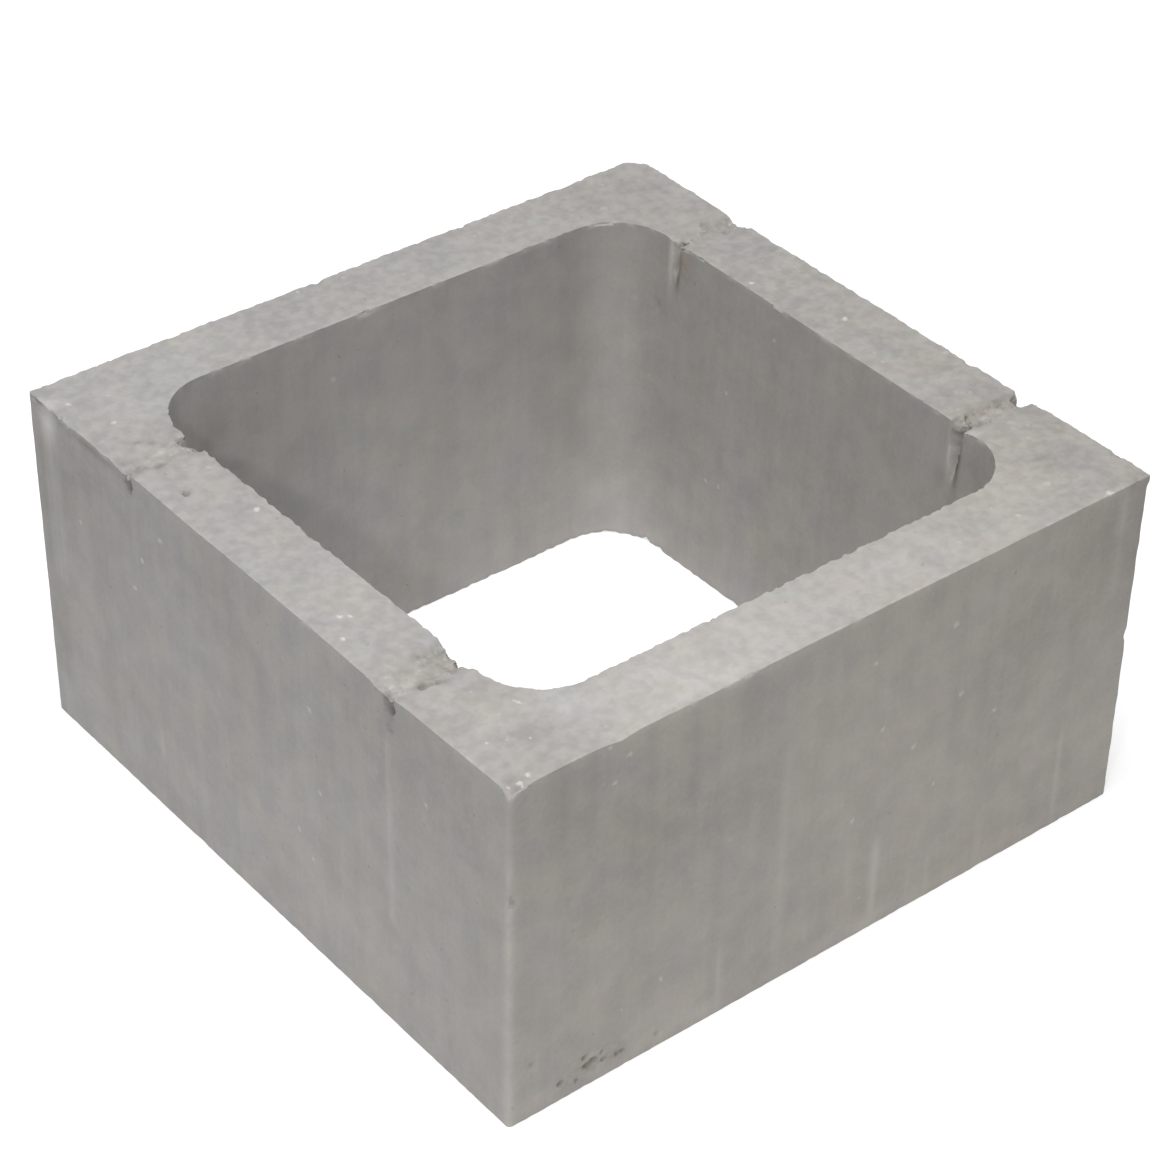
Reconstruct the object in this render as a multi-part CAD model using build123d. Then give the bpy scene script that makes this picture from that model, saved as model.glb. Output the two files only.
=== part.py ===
from build123d import *
from dataclasses import dataclass
import os

# A hollow square column block of pressed concrete, cast in one piece.
# Z is up, X and Y run along the walls, and the origin is the middle of the underside.
# All sizes are in millimetres.

# Outside of the block: one 400 masonry module less a 10 joint
SIDE = 390.0
HEIGHT = 200.0
ARRIS = 0.8

# How round each upright outer edge is, by its side in X and Y
UPRIGHT_RADII = {(-1, -1): 2.5, (-1, 1): 1.5, (1, -1): 3.5, (1, 1): 2.5}

# The core that leaves the opening is wider at the top than at the bottom
WALL_TOP = 41.0
WALL_BOTTOM = 46.5
CORE_CORNER_RADIUS = 34.0

# The core stood a little askew: how far its top lies towards Y plus, how far its side at X plus
# lies inwards at its top, and how much further for each millimetre towards Y minus
CORE_SHIFT = 0.8
CORE_SIDE_IN = 1.6
CORE_SIDE_TURN = 0.0125

# How far a cutter stands clear of the surface that it cuts
CLEAR = 3.0

# How much rounder than the rest a worn corner still is where its wear runs out
FADED = 0.5

# A slot's length, width and slopes at two levels down the face, as shares of those at the top
SLOT_LEVELS = (
    (0.45, 0.65, 0.8, 0.5),
    (1.0, 0.1, 0.3, 0.1),
)

HALF = SIDE / 2
CORE_HALF_TOP = HALF - WALL_TOP
CORE_HALF_BOTTOM = HALF - WALL_BOTTOM


@dataclass
class Slot:
    """The slot that a core bar left at one end of its way across a wall."""

    middle: float  # Y of its middle at the top
    width: float
    length: float  # how far it runs into the wall at the top
    height: float  # how far it runs down the face
    near_slope: float  # how wide the slope on its side at Y minus is at the top
    far_slope: float  # and the slope on its other side
    lean: float = 0.0  # how far it leans towards Y plus at its foot


@dataclass
class BarScar:
    """What a core bar left on one wall: a rough shallow hollow on top and slots at its ends."""

    wall: int  # which wall it crosses: -1 at X minus, 1 at X plus
    near: float  # Y where the hollow starts
    far: float  # Y where the hollow ends
    slopes: tuple  # how wide the hollow's near and far slopes are
    depths: tuple  # depth of the hollow at the outer face, half way and at the core
    inner: Slot
    outer: Slot = None


SCARS = (
    BarScar(
        wall=-1, near=98.0, far=119.0, slopes=(7.0, 6.0), depths=(1.6, 1.2, 2.4),
        inner=Slot(113.2, 4.5, 8.0, 9.0, 13.0, 0.8),
    ),
    BarScar(
        wall=-1, near=-118.0, far=-90.0, slopes=(9.0, 9.0), depths=(2.0, 1.5, 4.5),
        inner=Slot(-107.2, 3.4, 8.0, 9.0, 9.5, 0.8),
    ),
    BarScar(
        wall=1, near=98.0, far=117.5, slopes=(13.0, 5.0), depths=(3.6, 1.4, 2.0),
        inner=Slot(109.4, 2.6, 4.5, 26.0, 0.8, 6.3),
    ),
    BarScar(
        wall=1, near=-117.5, far=-102.0, slopes=(8.0, 2.5), depths=(3.2, 1.4, 2.6),
        inner=Slot(-109.6, 3.6, 7.0, 37.0, 0.8, 6.0, 3.0),
        outer=Slot(-108.6, 8.2, 6.3, 18.0, 2.0, 0.8),
    ),
)


@dataclass
class BarHole:
    """A blind hole that a bar's end left in the outer face at X minus, just under the arris."""

    middle: float  # Y of its middle
    low: float  # Z of its lowest place
    high: float  # and of its highest
    width: float
    depth: float


BAR_HOLES = (
    BarHole(104.0, 187.0, 197.0, 6.0, 4.0),
    BarHole(-108.5, 186.0, 196.5, 7.5, 4.0),
)


@dataclass
class Chip:
    """A round bite out of an edge of the block."""

    at: tuple  # the middle of the bite, on the edge or a little off it
    radius: float


CHIPS = (
    Chip((-HALF - 1.5, -HALF - 1.5, 137.0), 4.2),  # half way up the front edge
    Chip((-HALF - 2.5, -107.0, HEIGHT + 0.5), 5.5),  # at the arris over the bar's hole
    Chip((HALF + 2.0, -HALF - 2.0, 103.0), 5.5),  # half way up the right edge
    Chip((HALF + 2.5, -172.5, HEIGHT + 3.0), 5.5),  # on top, beside the right corner
)


def block_body():
    """The outside of the block: upright edges slightly round, arrises just broken."""
    body = Box(SIDE, SIDE, HEIGHT, align=(Align.CENTER, Align.CENTER, Align.MIN))
    for (side_x, side_y), radius in UPRIGHT_RADII.items():
        corner = (side_x * HALF, side_y * HALF, HEIGHT / 2)
        uprights = body.edges().filter_by(Axis.Z)
        body = fillet(uprights.sort_by_distance(corner)[0], radius)
    rims = body.edges().group_by(Axis.Z)[0] + body.edges().group_by(Axis.Z)[-1]
    return chamfer(rims, ARRIS)


def core_section(height):
    """The core's round-cornered outline at one height, square at its foot."""
    share = height / HEIGHT
    half = CORE_HALF_BOTTOM + (CORE_HALF_TOP - CORE_HALF_BOTTOM) * share
    corners = []
    for side_x, side_y in ((-1, -1), (1, -1), (1, 1), (-1, 1)):
        x, y = side_x * half, side_y * half
        if side_x > 0:
            x -= (CORE_SIDE_IN - CORE_SIDE_TURN * y) * share
        corners.append((x, y + CORE_SHIFT * share))
    outline = make_face(Polyline(*corners, close=True))
    outline = fillet(outline.vertices(), CORE_CORNER_RADIUS)
    return Plane.XY.offset(height) * outline


def tapered_core():
    """The through opening, with the draft that lets the mould core slide out upwards."""
    return loft([core_section(height).face() for height in (-CLEAR, HEIGHT + CLEAR)])


def core_face(wall, y):
    """X of the core's face at one wall, at the top of the block."""
    if wall < 0:
        return -CORE_HALF_TOP
    return CORE_HALF_TOP - CORE_SIDE_IN + CORE_SIDE_TURN * y


def flat_face(corners):
    """A face with straight sides."""
    return Face(Wire.make_polygon(corners, close=True))


def hollow_section(scar, x, depth):
    """The hollow's section across the bar: a near slope, a floor and a far slope."""
    near_slope, far_slope = scar.slopes
    outline = (
        (scar.near, HEIGHT + CLEAR),
        (scar.near, HEIGHT),
        (scar.near + near_slope, HEIGHT - depth),
        (scar.far - far_slope, HEIGHT - depth),
        (scar.far, HEIGHT),
        (scar.far, HEIGHT + CLEAR),
    )
    return flat_face([(x, y, z) for y, z in outline])


def top_hollow(scar):
    """The rough hollow right across the top of the wall."""
    places = (HALF + CLEAR, HALF - WALL_TOP / 2, CORE_HALF_TOP - 2 * CLEAR)
    sections = [
        hollow_section(scar, scar.wall * place, depth)
        for place, depth in zip(places, scar.depths)
    ]
    return loft(sections, ruled=True)


def slot_section(slot, face_x, into, down, length=1.0, width=1.0, slopes=1.0):
    """The slot's plan at one level, from outside the face to its end inside the wall."""
    height = HEIGHT - down * slot.height
    middle = slot.middle + slot.lean * max(0.0, down)
    near = middle - slot.width / 2 * width
    far = middle + slot.width / 2 * width
    near_lip = near - slot.near_slope * slopes
    far_lip = far + slot.far_slope * slopes
    outside = face_x - into * CLEAR
    end = face_x + into * slot.length * length
    return flat_face(
        (
            (outside, far_lip, height),
            (outside, near_lip, height),
            (face_x, near_lip, height),
            (end, near, height),
            (end, far, height),
            (face_x, far_lip, height),
        )
    )


def end_slot(slot, face_x, into):
    """A slot that is longest and widest at the top and runs out down the face."""
    sections = [slot_section(slot, face_x, into, -CLEAR / slot.height)]
    sections += [slot_section(slot, face_x, into, *level) for level in SLOT_LEVELS]
    return loft(sections, ruled=True)


def bar_scar(scar):
    """Everything that one bar left on one wall."""
    core_x = core_face(scar.wall, scar.inner.middle)
    cutters = [top_hollow(scar), end_slot(scar.inner, core_x, scar.wall)]
    if scar.outer:
        cutters.append(end_slot(scar.outer, scar.wall * HALF, -scar.wall))
    return cutters


def bar_hole(hole):
    """A blind hole with round ends in the face at X minus."""
    middle = (-HALF - CLEAR, hole.middle, (hole.low + hole.high) / 2)
    face = Plane(origin=middle, x_dir=(0, 0, 1), z_dir=(1, 0, 0))
    outline = face * SlotOverall(hole.high - hole.low, hole.width)
    return extrude(outline, CLEAR + hole.depth)


def worn_corner(side_x, side_y, along_x, along_y, down):
    """The slice of wear that has taken the tip off one top corner of the block."""
    tip = Vector(side_x * HALF, side_y * HALF, HEIGHT)
    on_x = tip - Vector(side_x * along_x, 0, 0)
    on_y = tip - Vector(0, side_y * along_y, 0)
    below = tip - Vector(0, 0, down)
    normal = (on_y - on_x).cross(below - on_x).normalized()
    if normal.dot(tip - below) < 0:
        normal = normal * -1
    reach = 2 * max(along_x, along_y, down)
    cutter = Box(reach, reach, reach, align=(Align.CENTER, Align.CENTER, Align.MIN))
    return Plane(origin=(on_x + on_y + below) / 3, z_dir=normal) * cutter


def corner_section(radius, height):
    """What lies outside a round corner of that radius at X plus, Y plus, at one height."""
    middle = HALF - radius
    bend = middle + radius / 2**0.5
    arc = ThreePointArc((HALF, middle, height), (bend, bend, height), (middle, HALF, height))
    outside = Polyline(
        (middle, HALF, height),
        (middle, HALF + CLEAR, height),
        (HALF + CLEAR, HALF + CLEAR, height),
        (HALF + CLEAR, middle, height),
        (HALF, middle, height),
    )
    return make_face(arc + outside).face()


def rounded_corner(radius, down):
    """The wear that has rounded the top of the far corner and fades out down its edge."""
    top = corner_section(radius, HEIGHT + CLEAR)
    foot = corner_section(UPRIGHT_RADII[1, 1] + FADED, HEIGHT - down)
    return loft([top, foot], ruled=True)


def edge_chip(chip):
    """A round bite."""
    return Pos(*chip.at) * Sphere(chip.radius)


def column_block():
    """The whole casting."""
    cutters = [tapered_core()]
    for scar in SCARS:
        cutters += bar_scar(scar)
    cutters += [bar_hole(hole) for hole in BAR_HOLES]
    cutters.append(worn_corner(-1, -1, along_x=13.0, along_y=8.0, down=6.0))
    cutters.append(rounded_corner(radius=13.0, down=32.0))
    cutters += [edge_chip(chip) for chip in CHIPS]
    return block_body() - cutters


if __name__ == "__main__":
    os.makedirs("parts", exist_ok=True)
    block = column_block()
    block.label = "column_block"
    export_step(block, "parts/column_block.step")
    print(f"volume {block.volume / 1e9:.5f} cubic metres")
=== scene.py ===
import math
from collections import namedtuple

import bmesh
import bpy
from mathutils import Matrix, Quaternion, Vector, kdtree, noise


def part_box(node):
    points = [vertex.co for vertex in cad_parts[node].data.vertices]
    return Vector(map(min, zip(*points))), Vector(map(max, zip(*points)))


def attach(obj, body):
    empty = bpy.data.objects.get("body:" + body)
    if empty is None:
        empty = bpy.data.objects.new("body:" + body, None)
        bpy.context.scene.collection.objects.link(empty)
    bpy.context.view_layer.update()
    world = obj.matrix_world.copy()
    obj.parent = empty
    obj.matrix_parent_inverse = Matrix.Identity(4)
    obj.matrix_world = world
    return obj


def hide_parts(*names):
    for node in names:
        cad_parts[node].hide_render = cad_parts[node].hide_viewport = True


# A hollow square column block of pressed grey concrete, alone on a pale floor.
# Everything is in metres, in the frame of the CAD solid that it dresses.

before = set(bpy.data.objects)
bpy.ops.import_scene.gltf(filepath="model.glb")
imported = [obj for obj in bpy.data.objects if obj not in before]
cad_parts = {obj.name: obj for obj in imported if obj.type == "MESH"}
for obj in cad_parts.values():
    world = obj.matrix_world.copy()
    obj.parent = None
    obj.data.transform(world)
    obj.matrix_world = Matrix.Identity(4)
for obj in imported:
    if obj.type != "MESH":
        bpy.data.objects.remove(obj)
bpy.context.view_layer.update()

MM = 0.001
NODE = "column_block"
LOW, HIGH = (Vector(corner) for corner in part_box(NODE))
HALF = HIGH.x
HEIGHT = HIGH.z

# The walls and the core, as on the solid
WALL_TOP = 41.0 * MM
WALL_BOTTOM = 46.5 * MM
CORE_HALF = HALF - WALL_TOP
CORE_HALF_BOTTOM = HALF - WALL_BOTTOM
CORE_CORNER = 34.0 * MM

# How many cells the surface is divided into
CELLS_ACROSS_WALL = 16
CELLS_ALONG_CORE = 88
CELLS_UP = 44

# How strongly the cells crowd towards the arrises, up the block and across its walls
CROWD_UP = 0.62
CROWD_ACROSS = 0.5

# How far beside slots and dents, at the ends of slots and round pits the cells are made finer,
# in millimetres
SIDE_MARGIN = 1.5
END_MARGIN = 2.0
PIT_MARGIN = 0.8

# Two cells that meet at less than this angle look smooth
SMOOTH_BELOW = math.radians(32)

# How near a place has to be to the top or the front of the tube to lie on it
FLUSH = 0.1 * MM

# Where the bars crossed the walls, off the middle in Y, and how far down their scars reach
# inside the core and elsewhere
BAR_FROM = 88.0 * MM
BAR_TO = 122.0 * MM
SCAR_REACH_CORE = 39.0 * MM
SCAR_REACH = 20.0 * MM

# How thick the struck top's skin is, how far down the broken concrete of a scar shows, and how
# deep its hollow is where all of the surface is broken
TOP_SKIN = 0.6 * MM
SCAR_SKIN = 6.0 * MM
ALL_BROKEN = 1.6 * MM

# How much of the height gives way under a place where the top is lower
SINK_REACH = 32.0 * MM

# Wear of the arrises, in millimetres: what crumbs and chips take, how far both reach, and how much
# of it shows at the outer foot
CRUMB_DEPTH = 0.34
CHIP_DEPTH = 0.8
CRUMB_REACH = 1.7
CHIP_REACH = 1.8
FOOT_WEAR = 0.3

# How strongly the worn arrises are paler at most, partly from wear and partly as a painted highlight,
# and how far from them that ends
PALEST_WEAR_AND_HIGHLIGHT = 0.35
PALE_REACH = 2.6 * MM

# Relief of the surface in millimetres: long and short waves of the pressed faces, and the lumps
# of the struck top and of broken concrete
LONG_WAVES = 0.06
SHORT_WAVES = 0.05
TOP_LUMPS = 0.22
BROKEN_LUMPS = 0.5

# The slot that a core bar left at one end of its way across a wall, in millimetres: its middle in Y,
# its full width, its length into the wall, its height down the face, how wide the slopes on its
# two sides are at the top, and how far it leans towards Y plus at its foot
Slot = namedtuple("Slot", "middle width length height near_slope far_slope lean")

# One scar of a core bar: its wall at X -1 or 1, where its rough hollow starts and ends in Y,
# how wide the hollow's two slopes are, its depths outside, half way and at the core,
# and the slots at its outer end, if any, and at the core
Scar = namedtuple("Scar", "wall near far slopes depths outer inner")
SCARS = (
    Scar(
        -1, 98.0, 119.0, (7.0, 6.0), (1.6, 1.2, 2.4),
        None,
        Slot(113.2, 4.5, 8.0, 9.0, 13.0, 0.8, 0.0),
    ),
    Scar(
        -1, -118.0, -90.0, (9.0, 9.0), (2.0, 1.5, 4.5),
        None,
        Slot(-107.0, 3.4, 3.6, 7.0, 9.5, 0.8, 0.0),
    ),
    Scar(
        1, 98.0, 117.5, (13.0, 5.0), (3.6, 1.4, 2.0),
        None,
        Slot(109.8, 3.4, 6.5, 26.0, 0.8, 5.4, 0.0),
    ),
    Scar(
        1, -117.5, -102.0, (8.0, 2.5), (3.2, 1.4, 2.6),
        Slot(-108.6, 8.2, 6.3, 18.0, 2.0, 0.8, 0.0),
        Slot(-109.6, 3.8, 8.0, 37.0, 0.8, 5.8, 3.0),
    ),
)

# A slot's knee and its foot: their levels, then the slot's length, width and slopes there,
# all as shares of those at the top
KNEE = (0.45, 0.65, 0.8, 0.5)
SLOT_FOOT = (1.0, 0.0, 0.3, 0.1)

# The width of a slot's steepest slope, in millimetres
STEEPEST = 0.8

# How round an outer upright edge is, in millimetres: its side in X and Y, its radius at the top,
# how far below the top that radius starts and ends to change, and its radius below
Upright = namedtuple("Upright", "side_x side_y top start end below")
UPRIGHTS = (
    Upright(-1, -1, 2.5, 0, 1, 2.5),
    Upright(-1, 1, 1.5, 0, 1, 1.5),
    Upright(1, -1, 1.2, 4, 7, 3.5),
    Upright(1, 1, 13.0, 0, 32, 2.5),
)

# The worn near corner: how far the wear runs along X, along Y and down
WORN_CORNER = (13.0, 8.0, 5.0)

# How far the top face lies below the highest place, and where it rises or sinks, in millimetres:
# the middle of the place, its reach along X and Y, and its rise
TOP_LEVEL = 0.5
Rise = namedtuple("Rise", "x y reach_x reach_y rise")
RISES = (
    Rise(195, 158, 24, 32, 1.3),
    Rise(163, 195, 6, 10, 1.0),
    Rise(184, 195, 5, 10, 1.2),
    Rise(-195, -108, 18, 62, -1.0),
    Rise(-195, 20, 18, 45, 0.4),
    Rise(-195, 85, 18, 30, 0.5),
    Rise(-195, 128, 9, 5, -0.9),
    Rise(-195, 158, 9, 5, -1.1),
    Rise(-158, -195, 24, 16, 0.6),
    Rise(-75, -195, 32, 12, -0.5),
    Rise(-134, -197, 8, 7, -1.5),
    Rise(193, 96, 6, 3, 1.4),
    Rise(154, -116, 5, 10, -1.2),
)

# The core stood a little askew: how far its top lies towards Y plus, how far its side at X plus
# lies inwards at its top, and how much further for each millimetre towards Y minus
CORE_SHIFT = 0.8
CORE_SIDE_IN = 1.6
CORE_SIDE_TURN = 0.0125

# The small pits of the honeycomb low on the front face: where they lie in X and Z, and their reach
Pit = namedtuple("Pit", "x z reach")
PITS = (
    Pit(-165.0, 10.0, 2.6),
    Pit(-155.5, 6.5, 1.5),
    Pit(-151.0, 18.5, 1.9),
    Pit(-149.5, 12.5, 2.6),
    Pit(-146.0, 13.5, 2.4),
    Pit(-140.5, 16.0, 1.6),
    Pit(-139.5, 10.5, 2.0),
    Pit(-131.5, 9.0, 1.7),
    Pit(-128.5, 9.5, 1.6),
)

# A dent or chip: its middle, its reach along X, Y and Z, and its depth, in millimetres
Dent = namedtuple("Dent", "at reach depth")
DENTS = tuple(Dent((pit.x, -195, pit.z), (pit.reach, 3, pit.reach), 0.8 * pit.reach) for pit in PITS)
DENTS += (
    Dent((-107, -195, 8), (2.5, 4, 2), 1.5),
    Dent((-182, -195, 33), (2.5, 4, 2), 1.5),
    # a pit on the front upright edge, and the chip on the right one
    Dent((-193, -195, 137), (4, 4, 4), 2.5),
    Dent((195, -195, 103), (4, 4, 5), 3.0),
    # pits in the top face and on the left face
    Dent((-181.6, 73.2, 200), (2.2, 2.2, 3), 2.2),
    Dent((-195, -16, 47), (3, 2, 3), 1.2),
    Dent((-195, -150, 17), (3, 2, 9), 1.2),
    # the nick beside the right corner, and the spall beside the left one
    Dent((196, -173, 200), (8, 5, 5), 0.9),
    Dent((-195, 178, 195), (3, 15, 9), 1.3),
    Dent((-195, 188, 198), (3, 5, 2), 1.2),
    Dent((-195, 166.5, 199), (3, 2.2, 2.5), 1.5),
    # the bars' holes under the left outer arris
    Dent((-195, 104, 193), (5, 4, 7), 4.0),
    Dent((-195, -108.5, 191.5), (5, 5, 6), 4.0),
    Dent((-195, -107, 200), (4, 4.5, 3), 1.5),
    Dent((-195, -108, 178), (3, 2.2, 4), 1.8),
    # holes in the broken concrete of the scars
    Dent((-178, -113, 198), (4, 3, 5), 2.5),
    Dent((-172, -115, 198), (3, 2, 4), 2.0),
    Dent((-166, -112, 198), (3, 2, 4), 1.5),
    Dent((-186, 106, 198), (3, 2, 4), 1.5),
    Dent((-182, 103, 198), (2.5, 2, 4), 1.2),
    Dent((165, -112, 197), (4, 2.5, 4), 2.5),
    Dent((161, -105, 197), (3, 3, 4), 2.5),
    Dent((180, -104, 198), (4, 2, 4), -1.0),
    Dent((174, -107, 198), (3, 2, 4), -0.8),
    Dent((165, 110, 198), (2.5, 2.5, 4), 1.5),
    Dent((184, 106, 198), (2.5, 2.5, 4), 1.5),
    Dent((178, 117, 198), (4, 2.5, 4), 1.2),
    # broken bits of the core's rim, of its faces and of their foot
    Dent((-155, 105, 199), (5, 9, 5), 1.8),
    Dent((-154, -98, 198), (3, 4, 4), 1.4),
    Dent((152, 124, 155), (3, 2.5, 3), 1.2),
    Dent((137, 151, 94), (2.5, 3, 3), 1.2),
    Dent((149, 123, 0), (4, 4, 3), 2.0),
    Dent((132, 149, 0), (4, 4, 3), 2.0),
)

# A soft patch that is paler or darker than the rest: its middle and reach in millimetres, its tone
Patch = namedtuple("Patch", "at reach tone")
PATCHES = (
    # on the top face; the first six make the tops paler at the front and darker at the right and
    # back: painted light that falls off away from the front left
    Patch((-60, -175, 200), (110, 30, 6), 0.17),
    Patch((70, -178, 200), (70, 25, 6), 0.05),
    Patch((175, 60, 200), (30, 160, 6), -0.05),
    Patch((175, -150, 200), (30, 40, 6), -0.08),
    Patch((0, 175, 200), (150, 30, 6), -0.04),
    Patch((178, 0, 200), (22, 210, 6), -0.045),
    Patch((-168, -140, 200), (14, 16, 6), -0.07),
    Patch((-164, -174, 200), (15, 9, 6), -0.12),
    Patch((-144, -187, 200), (14, 5, 6), -0.07),
    Patch((-138, -167, 200), (13, 8, 6), 0.09),
    Patch((-190, -191, 199), (6, 5, 6), -0.16),
    Patch((-175, 150, 200), (14, 22, 6), 0.05),
    Patch((-110, -170, 200), (9, 16, 6), -0.05),
    Patch((-85, -189, 200), (34, 5, 5), 0.13),
    Patch((166, -194, 200), (10, 3, 5), 0.20),
    Patch((-158, -96, 199), (6, 8, 5), 0.08),
    # on the front face
    Patch((-115, -195, 140), (42, 10, 34), -0.07),
    Patch((-80, -195, 122), (18, 10, 16), -0.06),
    Patch((-165, -195, 172), (32, 10, 30), -0.07),
    Patch((165, -195, 175), (38, 10, 34), -0.10),
    Patch((120, -195, 145), (28, 10, 24), -0.06),
    Patch((140, -195, 120), (30, 10, 22), -0.03),
    # the pale patches at the foot of this face are partly painted bounce light from the floor
    Patch((-110, -195, 15), (50, 10, 18), 0.05),
    Patch((20, -195, 115), (50, 10, 45), 0.03),
    Patch((-120, -195, 6), (90, 10, 16), 0.12),
    Patch((40, -195, 3), (120, 10, 10), 0.06),
    Patch((190, -195, 165), (10, 10, 50), -0.07),
    Patch((-172, -195, 132), (16, 10, 20), -0.06),
    Patch((-128, -195, 110), (46, 10, 20), -0.08),
    Patch((-100, -195, 165), (16, 10, 30), -0.05),
    Patch((30, -195, 4), (70, 10, 9), 0.10),
    Patch((60, -195, 188), (20, 10, 12), -0.06),
    Patch((179, -195, 178), (3, 10, 24), 0.14),
    # down the near upright edge
    Patch((-194, -194, 90), (4, 4, 120), 0.14),
    Patch((-194, -194, 12), (4, 4, 14), 0.08),
    # on the left face
    Patch((-195, 165, 165), (10, 28, 40), -0.07),
    Patch((-195, 60, 175), (10, 60, 24), -0.05),
    Patch((-195, -140, 170), (10, 40, 30), -0.06),
    Patch((-195, -80, 40), (10, 90, 40), 0.04),
    Patch((-195, 179, 192), (8, 8, 11), 0.42),
    Patch((-195, 183, 14), (8, 7, 16), 0.14),
    Patch((-195, 150, 140), (10, 30, 60), -0.04),
    Patch((-195, 187, 100), (10, 13, 130), -0.09),
    Patch((-195, -162, 147), (10, 22, 30), -0.06),
    Patch((-195, -178, 115), (10, 14, 50), -0.06),
    # a painted shadow line just under the top arris
    Patch((-195, 140, 196.5), (4, 30, 2.4), -0.20),
    Patch((-195, 112, 115), (10, 22, 45), 0.04),
    Patch((-195, 179, 187), (8, 5, 15), 0.22),
    # painted shade in the bars' holes under the left outer arris
    Patch((-195, -108.5, 191), (4, 4, 5), -0.30),
    Patch((-195, -106.5, 199), (4, 3, 3), -0.30),
    Patch((-195, 104, 193), (4, 3.5, 6), -0.30),
    # on the core's face at X plus
    Patch((150, 12, 62), (10, 28, 28), -0.10),
    Patch((153, 64, 181), (10, 18, 16), -0.05),
    Patch((153, -127, 183), (14, 14, 20), -0.10),
    Patch((149, 30, 38), (10, 26, 20), -0.05),
    Patch((153, -55, 165), (10, 16, 20), -0.06),
    # the whole face a little darker: painted shade, to match how light falls on it
    Patch((151, 0, 90), (10, 300, 130), -0.045),
    # on the core's face at Y plus
    # darker in the core's corner and along the left wall: painted shade where that wall shades this
    # face
    Patch((-152, 120, 190), (12, 45, 40), -0.10),
    Patch((-114, 152, 159), (22, 14, 26), -0.10),
    Patch((-62, 152, 100), (24, 14, 24), -0.07),
    Patch((-35, 150, 22), (24, 14, 20), -0.06),
    # paler at the foot: painted bounce light from the floor inside the core
    Patch((60, 150, 10), (50, 12, 16), 0.05),
    Patch((-15, 153, 193), (60, 10, 10), 0.06),
    # the whole face a little paler: painted light, to match how light falls on it
    Patch((0, 152, 90), (300, 10, 130), 0.08),
    # painted light in the far corner of the core, which is paler
    Patch((150, 150, 20), (50, 50, 30), 0.10),
    Patch((146, 150, 140), (16, 14, 55), 0.08),
    Patch((146, 148, 188), (4, 5, 13), 0.16),
    Patch((143, 149, 152), (7, 7, 4), 0.10),
    Patch((142, 148, 138), (7, 7, 3), 0.08),
    # painted light on the pale far sides of the slots at the core, partly paler broken concrete too,
    # and painted shade in their dark deep ends
    Patch((154, 115, 186), (5, 2.2, 18), 0.42),
    Patch((154, -104.4, 184), (5, 2.4, 18), 0.45),
    Patch((154, -109.8, 184), (5, 2.0, 22), -0.60),
    Patch((154, 108.6, 190), (5, 2.4, 9), -0.60),
    Patch((153, 109.2, 178), (5, 1.6, 9), -0.40),
)

# Small dark and pale spots of the broken concrete in and beside the scars; the dark ones that sit in
# the pressed holes are partly painted shade in them
SPOTS = (
    # at X minus, Y plus
    Patch((-190, 114, 199), (4, 3.5, 4), -0.15),
    Patch((-188, 104, 199), (4.5, 3, 4), -0.24),
    Patch((-179, 100, 199), (4, 3, 4), -0.24),
    Patch((-171, 111, 199), (2, 2, 4), 0.25),
    Patch((-174.5, 110.5, 199), (2, 1.5, 4), 0.20),
    Patch((-177, 123.5, 199), (3, 2, 4), -0.22),
    Patch((-171, 119, 199), (3, 1.6, 4), -0.18),
    Patch((-166, 115.5, 199), (3, 1.6, 4), -0.18),
    Patch((-161, 111.5, 199), (3, 1.6, 4), -0.18),
    Patch((-156.5, 115, 199), (2.5, 2.5, 4), 0.25),
    Patch((-181.6, 73.2, 199), (2.2, 2.2, 4), -0.35),
    # at X minus, Y minus
    Patch((-169.5, -94.5, 199), (3.5, 3, 4), -0.28),
    Patch((-165, -96, 199), (4, 2, 4), -0.22),
    Patch((-168, -100, 199), (3, 2, 4), -0.24),
    Patch((-158, -96.5, 199), (4, 1.8, 4), -0.22),
    Patch((-179.5, -111.5, 199), (3, 2.2, 4), -0.32),
    Patch((-172, -116, 199), (3, 2.2, 4), -0.24),
    Patch((-182, -98, 199), (3, 2, 4), -0.22),
    Patch((-174, -102.5, 199), (2, 2, 4), 0.22),
    Patch((-185, -107, 199), (5, 2.5, 4), 0.15),
    Patch((-162, -105, 199), (6, 5, 5), -0.08),
    Patch((-161.5, -111, 199), (3, 3, 4), -0.16),
    # at X plus, Y plus
    Patch((179, 115.5, 199), (4, 2.5, 4), -0.15),
    Patch((173, 111.5, 199), (5, 2.5, 4), -0.15),
    Patch((185.5, 115, 199), (2, 2, 4), -0.18),
    Patch((183, 106, 199), (4, 2, 4), -0.18),
    Patch((179, 82.5, 200), (2, 3, 4), 0.10),
    Patch((190, 74, 200), (4, 1.5, 4), -0.16),
    # at X plus, Y minus
    Patch((159, -106, 199), (3, 2.5, 4), -0.24),
    Patch((163, -112, 199), (3, 2.5, 4), -0.30),
    Patch((167, -101.5, 199), (3, 2.5, 4), -0.22),
    Patch((176.5, -104.5, 199), (3, 2.5, 4), -0.22),
    Patch((182, -103, 199), (3, 2, 4), -0.22),
    Patch((171, -106, 199), (2, 2, 4), -0.20),
    Patch((156, -115, 199), (2, 2, 4), 0.30),
    Patch((156, -119, 199), (3, 3, 4), 0.15),
    Patch((176.5, -109, 199), (2, 2, 4), 0.20),
    Patch((174, -121.5, 199), (2, 2, 4), 0.20),
    Patch((168, -86, 199), (6, 5, 4), -0.08),
    Patch((179, -90, 199), (4, 4, 4), -0.08),
    Patch((181, -127, 200), (5, 1.5, 4), 0.15),
    Patch((170, -142.5, 200), (4, 1.5, 4), 0.12),
    Patch((168, -159, 200), (5, 1.2, 4), -0.14),
)

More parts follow.
